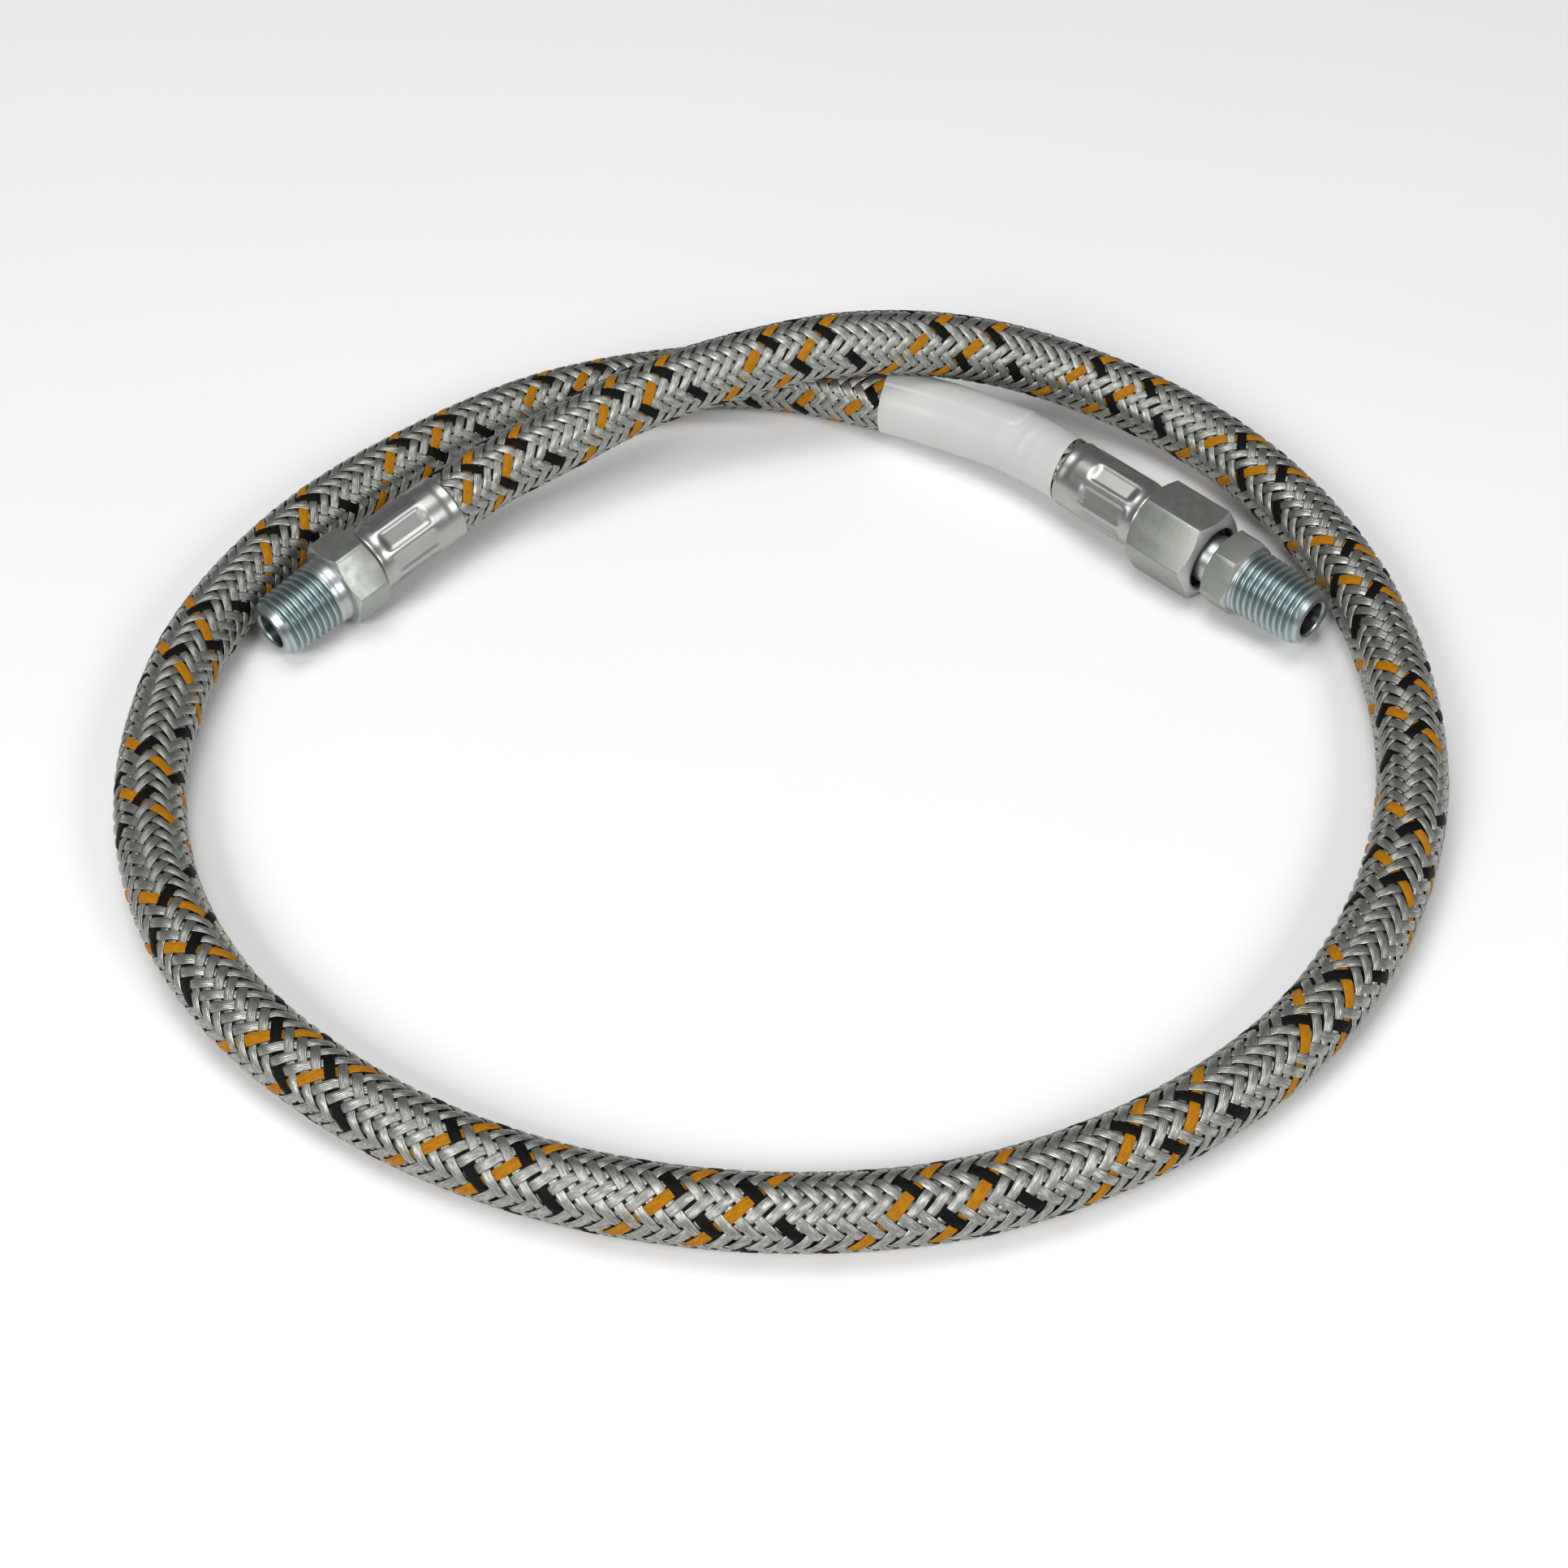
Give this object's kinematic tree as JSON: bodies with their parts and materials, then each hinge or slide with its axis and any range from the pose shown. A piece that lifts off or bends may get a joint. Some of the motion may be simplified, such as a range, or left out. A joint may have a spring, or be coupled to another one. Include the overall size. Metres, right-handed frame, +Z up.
{
  "type": "fuel hose",
  "caption": "Flexible fuel hose with a woven wire sleeve, lying in one loop, with a fixed male pipe end and a swivelling male pipe end.",
  "frame": {"origin": "under the middle of the loop's bounding box, on the level floor that the hose lies on", "axes": "+Z up; +X along the loop's widest way, towards the swivel end; +Y towards the side where the two ends cross"},
  "size_m": [0.2439, 0.2195, 0.0284],
  "materials": {
    "zinc_steel": "bright zinc plate",
    "ferrule_steel": "polished, crimped",
    "braid_wire": "woven satin wire with two orange and two black tracer strands",
    "rubber": "matt black",
    "film": "thin wrapped film, bare"
  },
  "bodies": {
    "hose": {"rubber_tube": "rubber", "wire_braid": "braid_wire", "label_wrap": "film", "fixed_ferrule": "ferrule_steel", "fixed_stem": "zinc_steel", "swivel_ferrule": "ferrule_steel", "swivel_body": "zinc_steel"},
    "nipple": {"swivel_nipple": "zinc_steel"}
  },
  "joints": [
    {"name": "nipple_turn", "type": "hinge", "parent": "hose", "child": "nipple", "pos_m": [0.0578, 0.071, 0.009], "axis": [0.7169, -0.6972, 0], "continuous": true}
  ]
}
